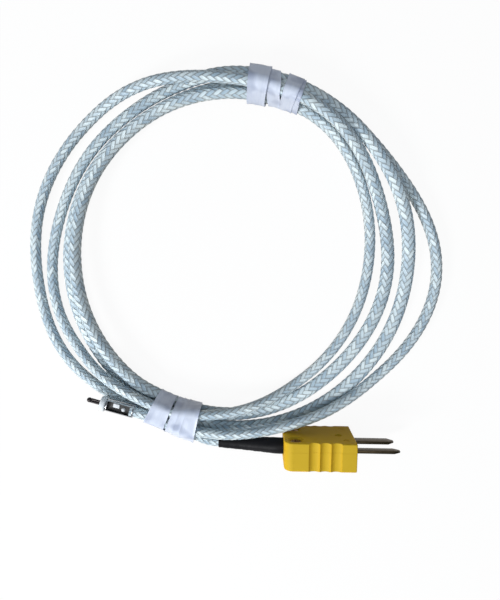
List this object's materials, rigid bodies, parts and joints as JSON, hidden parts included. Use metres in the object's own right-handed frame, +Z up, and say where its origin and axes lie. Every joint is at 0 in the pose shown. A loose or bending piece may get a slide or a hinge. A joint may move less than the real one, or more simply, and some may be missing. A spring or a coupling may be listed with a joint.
{
  "type": "thermocouple",
  "caption": "Coiled thermocouple lead with a glass-braided cable, a yellow flat-pin miniature plug with a black boot, and a crimped ferrule with a bare welded junction.",
  "frame": {"origin": "middle of the bounding box on the table that the coil lies on", "axes": "+Z up from the table; +X the way the plug's pins point, within a degree; +Y across the coil from the plug to the top tie"},
  "size_m": [0.1234, 0.115, 0.016],
  "materials": {
    "plug_yellow": "satin moulded yellow",
    "pin_bronze": "dark bronze-toned thermocouple alloy",
    "screw_steel": "plain steel",
    "nut_brass": "plain brass",
    "boot_black": "semi-matt black shrink tube",
    "core_yellow": "glass yarn, yellow",
    "core_red": "glass yarn, red",
    "thermo_alloy": "drawn nickel-alloy wire, slightly oxidised",
    "glass_braid": "white glass-fibre braid with a silvery sheen",
    "ferrule_steel": "polished steel",
    "sleeve_white": "cut end of white glass sleeving",
    "strip_milky": "thin milky plastic strip"
  },
  "bodies": {
    "lead": {"plug_base": "plug_yellow", "plug_cover": "plug_yellow", "positive_pin": "pin_bronze", "negative_pin": "pin_bronze", "positive_terminal_screw": "screw_steel", "negative_terminal_screw": "screw_steel", "positive_clamp_washer": "screw_steel", "negative_clamp_washer": "screw_steel", "upper_cover_nut": "nut_brass", "lower_cover_nut": "nut_brass", "cable_boot": "boot_black", "positive_core": "core_yellow", "negative_core": "core_red", "positive_wire_end": "thermo_alloy", "negative_wire_end": "thermo_alloy", "braided_cable": "glass_braid", "tip_ferrule": "ferrule_steel", "tip_sleeve": "sleeve_white", "tip_positive_wire": "thermo_alloy", "tip_negative_wire": "thermo_alloy", "junction_bead": "thermo_alloy", "top_tie": "strip_milky", "bottom_tie": "strip_milky"},
    "upper_screw": {"upper_cover_screw": "screw_steel"},
    "lower_screw": {"lower_cover_screw": "screw_steel"}
  },
  "joints": [
    {"name": "upper_cover_screw_turn", "type": "hinge", "parent": "lead", "child": "upper_screw", "pos_m": [0.01797, -0.05123, 0.0127], "axis": [0.014, 0.9999, 0], "continuous": true},
    {"name": "lower_cover_screw_turn", "type": "hinge", "parent": "lead", "child": "lower_screw", "pos_m": [0.01797, -0.05123, 0.0033], "axis": [0.014, 0.9999, 0], "continuous": true}
  ]
}
